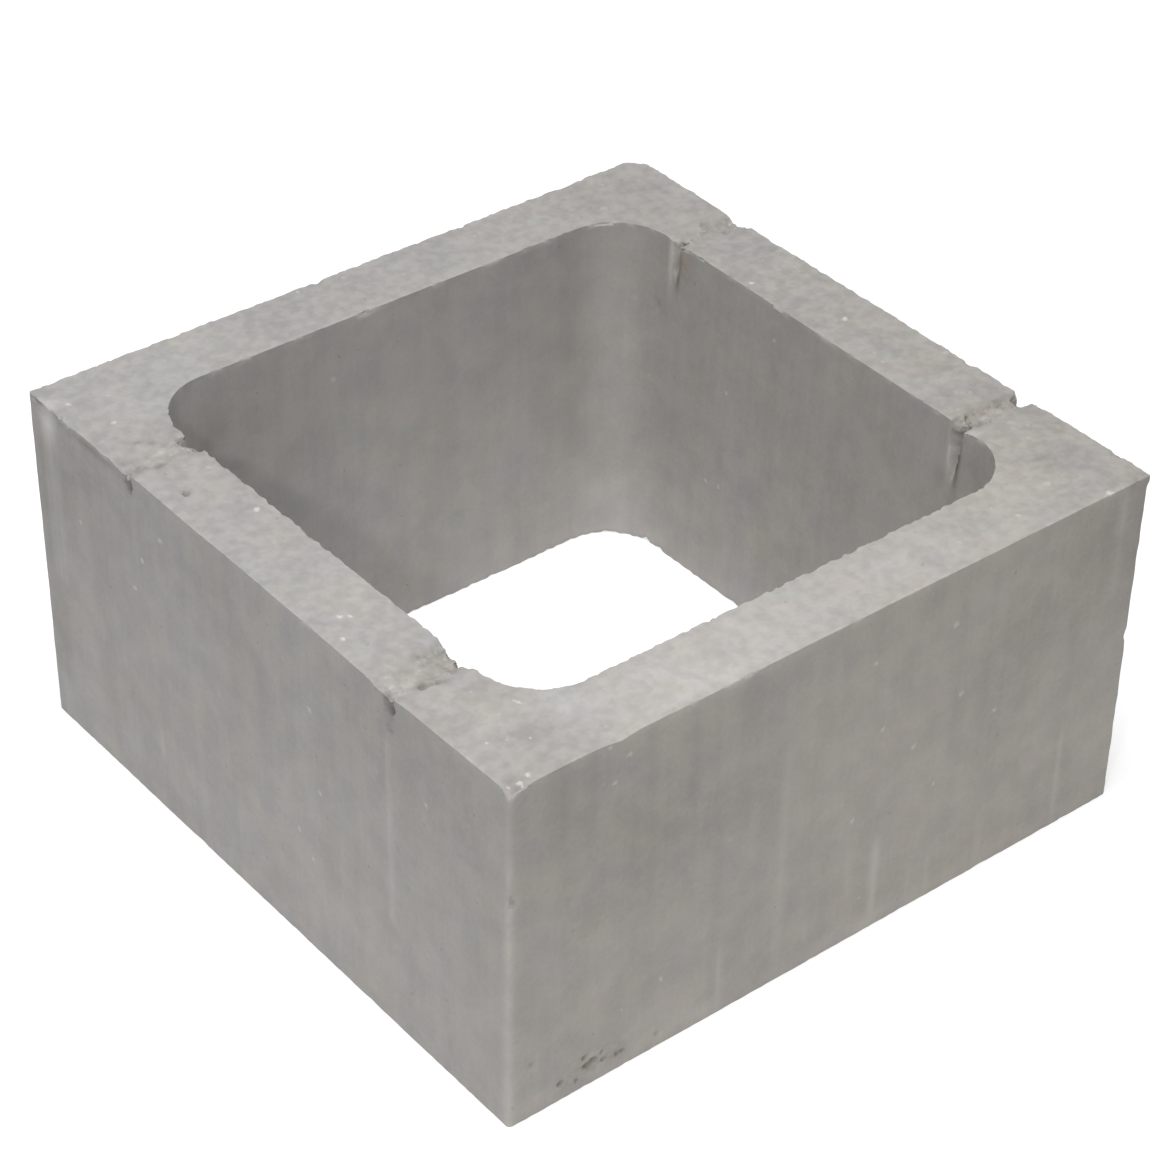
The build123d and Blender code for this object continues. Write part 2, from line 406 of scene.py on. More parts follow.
# and the shade in the pits of the honeycomb
SPOTS += tuple(Patch((pit.x, -195, pit.z), (pit.reach, 4, pit.reach), -0.25) for pit in PITS)

# Where the concrete is broken besides the scars: round the pits, with how broken it is
BROKEN = (
    Patch((-142, -195, 13), (15, 4, 7), 1.3),
    Patch((-163, -195, 9), (6, 4, 5), 1.0),
)

# Rusty stains, as their middles and reaches in millimetres and their strength
STAINS = (
    Patch((154, 105, 189), (5, 6, 10), 0.7),
    Patch((153, -101, 165), (5, 5, 8), 0.4),
    Patch((170, -105, 200), (16, 8, 8), 0.25),
    Patch((-165, -105, 200), (18, 12, 8), 0.2),
    Patch((-195, 138, 176), (5, 4, 5), 0.3),
    Patch((-147, -195, 12), (6, 4, 4), 0.5),
    Patch((-130, -195, 8), (5, 4, 3), 0.3),
)

# Pale streaks down the front face and down the left face, in millimetres:
# where the streak's middle is, its width, its foot and top, and how strong it is
Streak = namedtuple("Streak", "at width foot top strength")
FRONT_STREAKS = (
    Streak(-168, 3, 34, 47, 0.5),
    Streak(-70, 5, -10, 52, 0.55),
    Streak(-34, 5, -10, 150, 0.25),
    Streak(-16, 5, 12, 34, 0.4),
    Streak(11, 4, 25, 68, 0.35),
    Streak(28, 6, -10, 64, 0.8),
    Streak(52, 4, -10, 34, 0.4),
    Streak(65, 4, -10, 40, 0.45),
    Streak(100, 5, -10, 42, 0.4),
    Streak(154, 4, -10, 72, 0.45),
)
LEFT_STREAKS = (
    Streak(-107, 6, 60, 182, 0.45),
    Streak(-19, 3, 120, 165, 0.15),
    Streak(90, 4, 30, 58, 0.5),
    Streak(178, 13, 90, 205, 0.4),
)

# Single pale grains that show in the surface, as their middles and their half widths in millimetres
PALE_GRAINS = (
    # in the front face
    ((-137, -195, 176), 1.9),
    ((-140, -195, 197), 1.6),
    ((69, -195, 167), 2.6),
    ((18, -195, 168), 1.8),
    ((77, -195, 122), 2.2),
    ((26, -195, 125), 2.0),
    ((48, -195, 104), 2.2),
    ((64, -195, 73), 1.6),
    ((102, -195, 100), 2.2),
    ((-106, -195, 42), 1.6),
    ((-129, -195, 36), 1.3),
    ((11, -195, 77), 1.8),
    ((20, -195, 23), 1.3),
    ((-129, -195, 188), 2.0),
    # in the left face
    ((-195, 78, 175), 2.6),
    ((-195, 96, 153), 2.6),
    ((-195, 154, 143), 2.2),
    ((-195, 105, 131), 2.4),
    ((-195, -45, 150), 2.4),
    ((-195, -135, 153), 2.2),
    ((-195, -51, 104), 2.0),
    ((-195, -32, 69), 2.0),
    ((-195, -43, 58), 2.4),
    # in the two faces of the core that show
    ((152, 64, 129), 2.0),
    ((153, 30, 179), 2.2),
    ((150, 76, 66), 2.0),
    ((150, 65, 68), 1.6),
    ((-24, 153, 184), 1.6),
    ((-41, 153, 167), 2.4),
    # in the top face
    ((-185, 173, 200), 2.4),
    ((-176, 146, 200), 2.0),
    ((-162, 42, 200), 2.4),
    ((-180, -50, 200), 2.2),
    ((-176, -53, 200), 1.8),
    ((-188, -64, 200), 1.6),
    ((-155, -146, 200), 1.8),
    ((158, 56, 200), 2.4),
    ((173, 0, 200), 2.4),
    ((-35, 192, 200), 1.8),
    ((-8, 189, 200), 1.8),
    ((168, -194, 200), 3.2),
    ((-154, -148, 200), 2.2),
    ((-182, -162, 200), 1.6),
    ((-173, -165, 200), 1.4),
    ((-165, -171, 200), 1.2),
    ((120, -180, 200), 2.0),
    # at the near corner
    ((-181, -190, 200), 2.0),
    ((-187, -192, 199), 2.0),
    ((-192, -190, 198), 1.4),
)


def clamp(value):
    """Keeps a share between none and all."""
    return max(0.0, min(1.0, value))


def fade(value):
    """A clamped share that starts and ends gently."""
    share = clamp(value)
    return share * share * (3 - 2 * share)


def rough(point, size, octaves=3):
    """Smooth irregularity between about -1 and 1, whose largest lumps measure size."""
    return noise.fractal(point / size, 1.0, 2.0, octaves)


def across(point):
    """How far a point lies through the wall: 0 at the outer face, 1 at the core."""
    return (HALF - max(abs(point.x), abs(point.y))) / WALL_TOP


# The block's mesh, first as a straight square tube whose cells are finer near its arrises


def square_tube():
    """A square ring drawn up to the block's height, its opening still straight and square."""
    bm = bmesh.new()
    bmesh.ops.create_grid(bm, x_segments=3, y_segments=3, size=HALF)
    for vert in bm.verts:
        for axis in (0, 1):
            if abs(vert.co[axis]) < 0.9 * HALF:
                vert.co[axis] = math.copysign(CORE_HALF, vert.co[axis])
    middle = [face for face in bm.faces if face.calc_center_median().length < MM]
    bmesh.ops.delete(bm, geom=middle, context="FACES_ONLY")
    raised = bmesh.ops.extrude_face_region(bm, geom=bm.faces[:], use_keep_orig=True)
    top = [item for item in raised["geom"] if isinstance(item, bmesh.types.BMVert)]
    bmesh.ops.translate(bm, verts=top, vec=(0, 0, HEIGHT))
    bmesh.ops.recalc_face_normals(bm, faces=bm.faces[:])
    return bm


def cut_edges(bm, axis, near, far, cells):
    """Divides the edges along one axis, with their middles that far from the centre, into cells."""
    chosen = []
    for edge in bm.edges:
        start, end = (vert.co for vert in edge.verts)
        run = end - start
        middle = (start[axis] + end[axis]) / 2
        if abs(run[axis]) > 0.9 * run.length and near <= abs(middle) <= far:
            chosen.append(edge)
    bmesh.ops.subdivide_edges(bm, edges=chosen, cuts=cells - 1, use_grid_fill=True)


def crowd(share, strength):
    """Moves an even share towards the ends of its run, so that cells there are finer."""
    return share - strength * math.sin(2 * math.pi * share) / (2 * math.pi)


def crowd_cells(bm):
    """Makes the cells fine near every arris and coarse in the middle of the faces."""
    for vert in bm.verts:
        vert.co.z = HEIGHT * crowd(vert.co.z / HEIGHT, CROWD_UP)
        for axis in (0, 1):
            size = abs(vert.co[axis])
            if size > CORE_HALF:
                share = crowd((size - CORE_HALF) / WALL_TOP, CROWD_ACROSS)
                vert.co[axis] = math.copysign(CORE_HALF + share * WALL_TOP, vert.co[axis])


def refine(bm, wanted):
    """Halves the cells whose middles are wanted, their edges always in the same order."""
    edges = {}
    for face in bm.faces:
        if wanted(face.calc_center_median()):
            edges.update(dict.fromkeys(face.edges))
    bmesh.ops.subdivide_edges(bm, edges=list(edges), cuts=1, use_grid_fill=True)


def in_scar(point):
    """Whether a place is on or beside one of the bar scars."""
    if abs(point.x) < CORE_HALF - 6 * MM:
        return False
    reach = SCAR_REACH_CORE if abs(point.x) < CORE_HALF + 2 * MM else SCAR_REACH
    near_bar = BAR_FROM < abs(point.y) < BAR_TO
    return near_bar and point.z > HEIGHT - reach


def in_slot(point):
    """Whether a place is in one of the bars' slots, with a margin."""
    scar = scar_at(point)
    down = (HEIGHT - point.z) / MM
    for slot, face_x in ((scar.outer, HALF), (scar.inner, CORE_HALF)):
        if slot is None:
            continue
        along = point.y / MM - slot.middle
        near = -slot.width / 2 - slot.near_slope - SIDE_MARGIN
        far = slot.width / 2 + slot.far_slope + slot.lean + SIDE_MARGIN
        end = slot.length + END_MARGIN
        from_face = abs(abs(point.x) - face_x) / MM
        if near < along < far and from_face < end and down < slot.height:
            return True
    return False


def on_top(point):
    """Whether a place is on the top face."""
    return point.z > HEIGHT - FLUSH


def in_pit(point):
    """Whether a place is in one of the small pits low on the front face, with a margin."""
    if point.y > -HALF + FLUSH:
        return False
    for pit in PITS:
        if math.hypot(point.x / MM - pit.x, point.z / MM - pit.z) < pit.reach + PIT_MARGIN:
            return True
    return False


def in_dent(point):
    """Whether a place is in one of the dents, with a margin."""
    for dent in DENTS:
        reaches = [(reach + SIDE_MARGIN) * MM for reach in dent.reach]
        offset = [(point[i] - dent.at[i] * MM) / reaches[i] for i in range(3)]
        if sum(part * part for part in offset) < 1:
            return True
    return False


# Fields that turn the tube into the worn casting


def tapered_core(point):
    """Draws the square opening in towards its foot and rounds its upright corners."""
    share = across(point)
    half = CORE_HALF_BOTTOM + (CORE_HALF - CORE_HALF_BOTTOM) * point.z / HEIGHT
    shrink = 1 + (half / CORE_HALF - 1) * share
    main, other = (0, 1) if abs(point.x) >= abs(point.y) else (1, 0)
    moved = Vector((point.x * shrink, point.y * shrink, point.z))
    from_corner = max(0.0, CORE_HALF - abs(point[other]))
    if from_corner < CORE_CORNER:
        angle = math.pi / 4 * (1 - from_corner / CORE_CORNER)
        inwards = CORE_CORNER * (math.cos(angle) - 1)
        sideways = CORE_CORNER * (math.sin(angle) - 1) + from_corner
        moved[main] += math.copysign(1, point[main]) * inwards * share
        moved[other] += math.copysign(1, point[other]) * sideways * share
    return moved + core_askew(point, share)


def core_askew(point, share):
    """How far a point moves because the core stood a little askew at its top."""
    share *= point.z / HEIGHT
    side = (CORE_SIDE_IN - CORE_SIDE_TURN * point.y / MM) * clamp(point.x / CORE_HALF)
    return Vector((-side * MM, CORE_SHIFT * MM, 0)) * share


def stepped(share, first, middle, last):
    """A value that runs evenly from the first to the middle one and on to the last."""
    if share < 0.5:
        return first + (middle - first) * 2 * share
    return middle + (last - middle) * (2 * share - 1)


def scar_at(point):
    """The bar scar on the same wall and the same half of it as a point."""
    for scar in SCARS:
        if point.x * scar.wall > 0 and point.y * scar.near > 0:
            return scar
    return SCARS[0]


def hollow_depth(point):
    """How deep the rough hollow of a bar scar lies below the top face at a point."""
    if abs(point.x) < CORE_HALF - MM:
        return 0.0
    scar = scar_at(point)
    along = point.y / MM + 0.8 * rough(point, 9 * MM)
    slope = min((along - scar.near) / scar.slopes[0], (scar.far - along) / scar.slopes[1])
    depth = stepped(clamp(across(point)), *scar.depths)
    lumpy = 1 + 0.45 * rough(point + Vector((0.2, 0.4, 0.1)), 6 * MM)
    return depth * MM * clamp(slope) * lumpy


def top_depth(point):
    """How far the top face lies below the highest place, away from the scars."""
    depth = TOP_LEVEL - 0.25 * rough(point, 45 * MM, 2)
    for rise in RISES:
        off_x = (point.x / MM - rise.x) / rise.reach_x
        off_y = (point.y / MM - rise.y) / rise.reach_y
        square = off_x * off_x + off_y * off_y
        if square < 4:
            depth -= rise.rise * math.exp(-1.5 * square)
    return max(0.0, depth) * MM


def sunk(point, depth):
    """Lowers the top of the wall by a depth, and squeezes what is under it."""
    return point - Vector((0, 0, depth * clamp(1 - (HEIGHT - point.z) / SINK_REACH)))


def slot_floor(slot, run):
    """A place on a slot's floor, from 0 at its end on the top to 1 at its foot on the face:
    how far it lies from the face and below the top, and its share of the width and the slopes."""
    end = (0.0, 1.0, 1.0, 1.0)
    top_part = math.hypot(slot.length * (1 - KNEE[1]), slot.height * KNEE[0])
    foot_part = math.hypot(slot.length * KNEE[1], slot.height * (1 - KNEE[0]))
    bend = top_part / (top_part + foot_part)
    if run < bend:
        start, stop, part = end, KNEE, run / bend
    else:
        start, stop, part = KNEE, SLOT_FOOT, (run - bend) / (1 - bend)
    level, length, width, slopes = (a + (b - a) * part for a, b in zip(start, stop))
    return slot.length * length, slot.height * level, width, slopes


def slotted(point, tube_point, slot, from_face, side):
    """Draws a point of the top or of a face down to a slot's floor; side is the way into the wall."""
    down = (HEIGHT - tube_point.z) / MM
    run = (slot.length - from_face + down) / (slot.length + slot.height)
    if not 0 < run < 1:
        return point
    into, below, width, slopes = slot_floor(slot, run)
    middle = slot.middle + slot.lean * below / slot.height
    along = tube_point.y / MM + 0.45 * rough(tube_point, 9 * MM, 2) - middle
    half_width = slot.width / 2 * width
    near = (along + half_width) / max(STEEPEST, slot.near_slope * slopes) + 1
    far = (half_width - along) / max(STEEPEST, slot.far_slope * slopes) + 1
    inside = clamp(min(near, far))
    if inside == 0:
        return point
    crumbly = 1 + 0.04 * rough(tube_point, 5 * MM)
    drop = max(0.0, below * crumbly * MM - (HEIGHT - point.z))
    return point + inside * Vector((side * (into - from_face) * MM, 0, -drop))


def bars_drawn(point, tube_point):
    """Opens the slots that the core bars left at the ends of their way across the wall."""
    if abs(tube_point.y) > CORE_HALF:
        return point
    scar = scar_at(tube_point)
    from_outside = (HALF - abs(tube_point.x)) / MM
    from_core = (abs(tube_point.x) - CORE_HALF) / MM
    if scar.outer and from_outside < scar.outer.length:
        point = slotted(point, tube_point, scar.outer, max(0.0, from_outside), -scar.wall)
    if -0.1 < from_core < scar.inner.length:
        point = slotted(point, tube_point, scar.inner, max(0.0, from_core), scar.wall)
    return point


def upright_radius(upright, point):
    """The radius of an outer upright edge at a point's height, a little uneven."""
    down = (HEIGHT - point.z) / MM
    share = clamp((down - upright.start) / (upright.end - upright.start))
    radius = upright.top + (upright.below - upright.top) * share
    along_edge = Vector((HALF * upright.side_x, HALF * upright.side_y, point.z))
    return radius * (1 + 0.25 * rough(along_edge, 9 * MM)) * MM


def uprights_rounded(point):
    """Rounds the outer upright edges: draws the square of each corner to a quarter of a disc."""
    for upright in UPRIGHTS:
        if point.x * upright.side_x > 0 and point.y * upright.side_y > 0:
            radius = upright_radius(upright, point)
            middle = HALF - radius
            off = [(abs(point[axis]) - middle) / radius for axis in (0, 1)]
            if min(off) > 0:
                far, near = max(off), min(off)
                angle = math.pi / 4 * near / far
                main = 0 if off[0] >= off[1] else 1
                drawn = [0.0, 0.0, point.z]
                drawn[main] = middle + radius * far * math.cos(angle)
                drawn[1 - main] = middle + radius * far * math.sin(angle)
                return Vector((drawn[0] * upright.side_x, drawn[1] * upright.side_y, point.z))
    return point


def worn_plane():
    """The plane of wear that slices the near top corner, as its outward normal and its distance."""
    along_x, along_y, down = (length * MM for length in WORN_CORNER)
    normal = Vector((-1 / along_x, -1 / along_y, 1 / down)).normalized()
    return normal, normal.dot(Vector((-HALF, -HALF, HEIGHT - down)))


WORN_NORMAL, WORN_DISTANCE = worn_plane()


def near_corner_worn(point):
    """Brings a point that stands outside the plane of wear back to it."""
    proud = WORN_NORMAL.dot(point) - WORN_DISTANCE - 0.6 * MM * rough(point, 6 * MM)
    return point - WORN_NORMAL * max(0.0, proud)


def arris_wear(tube_point, point):
    """Breaks the arrises: fine crumbs are gone from every edge, and small chips in places."""
    share = across(tube_point)
    to_outer = share * WALL_TOP
    to_core = (1 - share) * WALL_TOP
    to_top = HEIGHT - tube_point.z
    to_foot = tube_point.z
    main = 0 if abs(tube_point.x) >= abs(tube_point.y) else 1
    outwards = Vector((0, 0, 0))
    outwards[main] = math.copysign(1, tube_point[main])
    up = Vector((0, 0, 1))
    crumbs = clamp(0.5 + 1.4 * rough(point, 4 * MM))
    core_crumbs = 1 + 1.6 * clamp(0.3 + 1.8 * rough(point + Vector((0.6, 0.2, 0.7)), 5 * MM, 2))
    chips = clamp(3.2 * rough(point + Vector((0.3, 0.1, 0.2)), 11 * MM, 2) - 1.3)
    wear = (CRUMB_DEPTH * crumbs + CHIP_DEPTH * chips) * MM
    reach = (CRUMB_REACH + CHIP_REACH * chips) * MM

    def pull(distance):
        return clamp(1 - distance / reach) ** 2

    move = Vector((0, 0, 0))
    move -= (outwards + up) * pull(to_outer + to_top)
    move -= (outwards - up) * pull(to_outer + to_foot) * FOOT_WEAR
    move += (outwards - up) * pull(to_core + to_top) * core_crumbs
    move += (outwards + up) * pull(to_core + to_foot) * core_crumbs
    return move * wear


def cast_point(tube_point):
    """Where a point of the plain tube lies on the worn casting."""
    point = tapered_core(tube_point)
    point = sunk(point, top_depth(tube_point) + hollow_depth(tube_point))
    point = bars_drawn(point, tube_point)
    point = uprights_rounded(point)
    point = near_corner_worn(point)
    return point + arris_wear(tube_point, point)


def patch_sum(patches, point, lump=18 * MM):
    """The sum of the soft patches at a point, uneven by lumps of one size."""
    tone = 0.0
    for patch in patches:
        offset = [(point[i] - patch.at[i] * MM) / (patch.reach[i] * MM) for i in range(3)]
        square = sum(part * part for part in offset)
        if square < 4:
            tone += patch.tone * math.exp(-1.2 * square) * (1 + 0.5 * rough(point, lump))
    return tone


def edge_wear_and_highlight(tube_point):
    """How pale the arrises are, partly worn and partly a painted highlight: most on an arris, and not
    at all a little way off it.
    """
    share = across(tube_point)
    to_top = HEIGHT - tube_point.z
    rim = to_top + min(share, 1 - share) * WALL_TOP
    upright = HALF - min(abs(tube_point.x), abs(tube_point.y)) + share * WALL_TOP
    nearest = min(rim, upright)
    uneven = clamp(0.4 + 1.1 * rough(tube_point, 16 * MM))
    return PALEST_WEAR_AND_HIGHLIGHT * clamp(1 - nearest / PALE_REACH) * uneven


def press_dents(bm):
    """Presses the listed dents into the finished surface, with broken outlines."""
    bm.verts.ensure_lookup_table()
    tree = kdtree.KDTree(len(bm.verts))
    for vert in bm.verts:
        tree.insert(vert.co, vert.index)
    tree.balance()
    bm.normal_update()
    for dent in DENTS:
        middle = Vector(dent.at) * MM
        for where, index, _ in tree.find_range(middle, max(dent.reach) * 1.3 * MM):
            offset = [(where[i] - middle[i]) / (dent.reach[i] * MM) for i in range(3)]
            off = math.sqrt(sum(part * part for part in offset)) + 0.25 * rough(where, 3 * MM)
            vert = bm.verts[index]
            vert.co -= vert.normal * dent.depth * MM * fade(1.4 * (1 - off))


def roughen(bm, top_skin, scarred):
    """Adds the slight waviness of the pressed faces and the lumps of the struck top and the scars."""
    bm.normal_update()
    moves = []
    for vert in bm.verts:
        inwards = LONG_WAVES * (1 + rough(vert.co, 60 * MM, 2))
        inwards += SHORT_WAVES * (1 + rough(vert.co, 7 * MM, 2))
        lumpy = rough(vert.co + Vector((0.5, 0.2, 0.3)), 4.5 * MM, 2)
        inwards -= lumpy * (TOP_LUMPS * vert[top_skin] + BROKEN_LUMPS * vert[scarred])
        moves.append(vert.normal * inwards * MM)
    for vert, move in zip(bm.verts, moves):
        on_foot = vert.co.z < 0.05 * MM
        vert.co -= move
        if on_foot:
            vert.co.z = 0


def keep_in_box(bm):
    """Keeps every point inside the solid's box, with the foot flat on the floor."""
    for vert in bm.verts:
        vert.co.x = max(LOW.x, min(HIGH.x, vert.co.x))
        vert.co.y = max(LOW.y, min(HIGH.y, vert.co.y))
        vert.co.z = max(LOW.z, min(HIGH.z, vert.co.z))


def divided_tube():
    """The tube with all its cells: finer on top, and finest in the scars, slots, dents and pits."""
    bm = square_tube()
    for axis in (0, 1):
        cut_edges(bm, axis, CORE_HALF, HALF, CELLS_ACROSS_WALL)
        cut_edges(bm, axis, 0, CORE_HALF, CELLS_ALONG_CORE)
    cut_edges(bm, 2, 0, HEIGHT, CELLS_UP)
    crowd_cells(bm)
    for wanted in (on_top, in_scar, in_slot, in_dent, in_pit):
        refine(bm, wanted)
    return bm


def block_piece():
    """The whole casting as one closed mesh."""
    bm = divided_tube()
    names = ("top_skin", "scarred", "tone", "stain", "worn")
    top_skin, scarred, tone, stain, worn = (bm.verts.layers.float.new(name) for name in names)
    for vert in bm.verts:
        tube_point = vert.co.copy()
        down = HEIGHT - tube_point.z
        vert[top_skin] = clamp(1 - down / TOP_SKIN)
        uneven = 0.7 + 0.9 * rough(tube_point, 8 * MM)
        hollow = clamp(uneven * hollow_depth(tube_point) / ALL_BROKEN)
        broken = patch_sum(BROKEN, tube_point, 5 * MM)
        vert[scarred] = clamp(max(broken, hollow * clamp(1 - down / SCAR_SKIN)))
        # the tone holds the listed patches and spots, some of them painted light and shade
        vert[tone] = patch_sum(PATCHES, tube_point) + patch_sum(SPOTS, tube_point, 3 * MM)
        vert[stain] = clamp(patch_sum(STAINS, tube_point))
        # the pale arrises: partly wear, partly a painted highlight
        vert[worn] = edge_wear_and_highlight(tube_point)
        vert.co = cast_point(tube_point)
    press_dents(bm)
    roughen(bm, top_skin, scarred)
    keep_in_box(bm)
    for edge in bm.edges:
        edge.smooth = edge.calc_face_angle(0.0) < SMOOTH_BELOW
    for face in bm.faces:
        face.smooth = True
    mesh = bpy.data.meshes.new("concrete_block")
    bm.to_mesh(mesh)
    bm.free()
    piece = bpy.data.objects.new("concrete_block", mesh)
    bpy.context.scene.collection.objects.link(piece)
    return piece


# The concrete

# Its colours, and those of what shows in it
GREY = (0.405, 0.387, 0.367, 1)
WARM_GREY = (0.420, 0.395, 0.352, 1)
COOL_GREY = (0.390, 0.384, 0.380, 1)
# the colour of painted shade in the hollows of broken concrete
HOLLOW_SHADE = (0.20, 0.19, 0.165, 1)
PALE_BIT = (0.56, 0.54, 0.50, 1)
GREENISH = (0.33, 0.33, 0.285, 1)
RUST = (0.30, 0.225, 0.15, 1)
PALE_SAND = (0.62, 0.60, 0.56, 1)
PALE_STONE = (0.66, 0.64, 0.60, 1)
PALEST_GRAIN = (0.74, 0.72, 0.68, 1)
# the colour of painted shade in the pores
DARK_PORE = (0.17, 0.155, 0.135, 1)
DUST = (0.56, 0.54, 0.51, 1)
# the pale of the arrises: partly wear, partly a painted highlight
WORN_EDGE_AND_HIGHLIGHT = (0.58, 0.56, 0.53, 1)

# How near to the front or the left face a place counts as on it, with its wandering
FACE_MARGIN = 1.5 * MM

# The streaks' ramps hold heights as shares: the block's foot at a quarter and its top at three
# quarters, so that a streak can start below the one or end above the other
RAMP_FOOT = 0.25
RAMP_RUN = 0.5

# What the concrete's colours and its relief share: places, faces and noises
Surface = namedtuple(
    "Surface",
    "place ragged drag x y z top scar on_front on_left clouds patches stones crumbs sand pores",
)


def empty_tree(data):
    """The node tree of a material or a world, with nothing in it yet."""
    data.use_nodes = True
    data.node_tree.nodes.clear()
    return data.node_tree


def make(tree, kind, inputs=None, **settings):
    """Adds a shader node with its settings, and sets or links its inputs."""
    new = tree.nodes.new(kind)
    for name, value in settings.items():
        setattr(new, name, value)
    for name, value in (inputs or {}).items():
        if isinstance(value, bpy.types.NodeSocket):
            tree.links.new(value, new.inputs[name])
        else:
            new.inputs[name].default_value = value
    return new


def math_node(tree, operation, first, second=0.0, third=0.0):
    """The result of one sum."""
    inputs = {0: first, 1: second, 2: third}
    return make(tree, "ShaderNodeMath", inputs, operation=operation).outputs[0]


def product(tree, first, *others):
    """Several values multiplied."""
    for other in others:
        first = math_node(tree, "MULTIPLY", first, other)
    return first


def between_plain(tree, value, low, high):
    """Stretches one range of a value evenly to 0 and 1."""
    inputs = {"Value": value, "From Min": low, "From Max": high}
    return make(tree, "ShaderNodeMapRange", inputs).outputs[0]


def between(tree, value, low, high, to_low=0.0, to_high=1.0):
    """Stretches one range of a value to another, and stops gently at its ends."""
    inputs = {"Value": value, "From Min": low, "From Max": high, "To Min": to_low, "To Max": to_high}
    return make(tree, "ShaderNodeMapRange", inputs, interpolation_type="SMOOTHSTEP").outputs[0]


def mixed(tree, share, first, second, blend="MIX"):
    """Two colours mixed."""
    inputs = {0: share, 6: first, 7: second}
    return make(tree, "ShaderNodeMix", inputs, data_type="RGBA", blend_type=blend).outputs[2]


def added(tree, first, second):
    """Two vectors added."""
    return make(tree, "ShaderNodeVectorMath", {0: first, 1: second}, operation="ADD").outputs[0]


def scaled(tree, vector, share):
    """A vector made longer or shorter."""
    inputs = {0: vector, "Scale": share}
    return make(tree, "ShaderNodeVectorMath", inputs, operation="SCALE").outputs[0]


def attribute(tree, name):
    """A value that the mesh carries."""
    return make(tree, "ShaderNodeAttribute", attribute_name=name).outputs["Fac"]


def lumps(tree, where, size, detail=3.0, roughness=0.55):
    """Noise whose lumps measure size, from 0 to 1."""
    inputs = {"Vector": where, "Scale": 1 / size, "Detail": detail, "Roughness": roughness}
    return make(tree, "ShaderNodeTexNoise", inputs).outputs["Fac"]


def wandering(tree, where, size, reach):
    """A place pushed about by noise, so that patterns on it get ragged outlines."""
    inputs = {"Vector": where, "Scale": 1 / size, "Detail": 2.0}
    push = make(tree, "ShaderNodeTexNoise", inputs).outputs["Color"]
    centred = added(tree, push, (-0.5, -0.5, -0.5))
    return added(tree, where, scaled(tree, centred, reach))


def grains(tree, where, spacing, size, share_kept):
    """Scattered grains: a cell pattern where only some cells hold a grain."""
    inputs = {"Vector": where, "Scale": 1 / spacing, "Randomness": 1.0}
    cells = make(tree, "ShaderNodeTexVoronoi", inputs, feature="F1")
    parts = make(tree, "ShaderNodeSeparateColor", {0: cells.outputs["Color"]})
    kept = math_node(tree, "LESS_THAN", parts.outputs[0], share_kept)
    own_share = between(tree, parts.outputs[1], 0, 1, 0.4, 1.0)
    own_size = math_node(tree, "MULTIPLY", own_share, size / spacing)
    spread = math_node(tree, "DIVIDE", cells.outputs["Distance"], own_size)
    return math_node(tree, "MULTIPLY", between(tree, spread, 0.7, 1.0, 1.0, 0.0), kept)


def listed_grains(tree, where):
    """The single pale grains: all on a grain, fading to none beside it."""
    nearest = None
    for middle, half_width in PALE_GRAINS:
        inputs = {0: where, 1: Vector(middle) * MM}
        away = make(tree, "ShaderNodeVectorMath", inputs, operation="DISTANCE").outputs["Value"]
        away = math_node(tree, "DIVIDE", away, half_width * MM)
        nearest = away if nearest is None else math_node(tree, "MINIMUM", nearest, away)
    return between(tree, nearest, 0.25, 1.0, 1.0, 0.0)


def along_share(place):
    """A place along a face, in millimetres from its middle, as a share of the face's length."""
    return (place * MM + HALF) / (2 * HALF)


def set_strengths(ramp, table):
    """Gives a ramp a peak at every streak, and nothing between them."""
    stops = ramp.color_ramp.elements
    for streak in table:
        middle = along_share(streak.at)
        reach = 0.75 * streak.width * MM / (2 * HALF)
        for shift, value in ((-reach, 0.0), (0.0, streak.strength), (reach, 0.0)):
            stop = stops.new(clamp(middle + shift))
            stop.color = (value, value, value, 1)
    for stop in (stops[0], stops[len(stops) - 1]):
        stop.color = (0, 0, 0, 1)


def set_heights(ramp, table, kind):
    """Gives a ramp the height of every streak's foot or top, as far as half way to the next."""
    ramp.color_ramp.interpolation = "CONSTANT"
    stops = ramp.color_ramp.elements
    for number, streak in enumerate(table):
        stop = stops[0]
        if number > 0:
            stop = stops.new(along_share((table[number - 1].at + streak.at) / 2))
        value = getattr(streak, kind) * MM / HEIGHT * RAMP_RUN + RAMP_FOOT
        stop.color = (value, value, value, 1)
    stops[len(stops) - 1].color = stops[len(stops) - 2].color


def streaks(tree, along, height, table):
    """Pale streaks down one face: one ramp gives their strength, two more their foot and top."""
    place = between_plain(tree, along, -HALF, HALF)
    strength, foot, top = (make(tree, "ShaderNodeValToRGB", {0: place}) for _ in range(3))
    set_strengths(strength, table)
    set_heights(foot, table, "foot")
    set_heights(top, table, "top")
    level = math_node(tree, "MULTIPLY_ADD", height, RAMP_RUN / HEIGHT, RAMP_FOOT)
    under_top = math_node(tree, "SUBTRACT", top.outputs["Color"], level)
    over_foot = math_node(tree, "SUBTRACT", level, foot.outputs["Color"])
    run = product(tree, between(tree, under_top, 0.0, 0.05), between(tree, over_foot, 0.0, 0.02))
    return product(tree, run, strength.outputs["Color"])


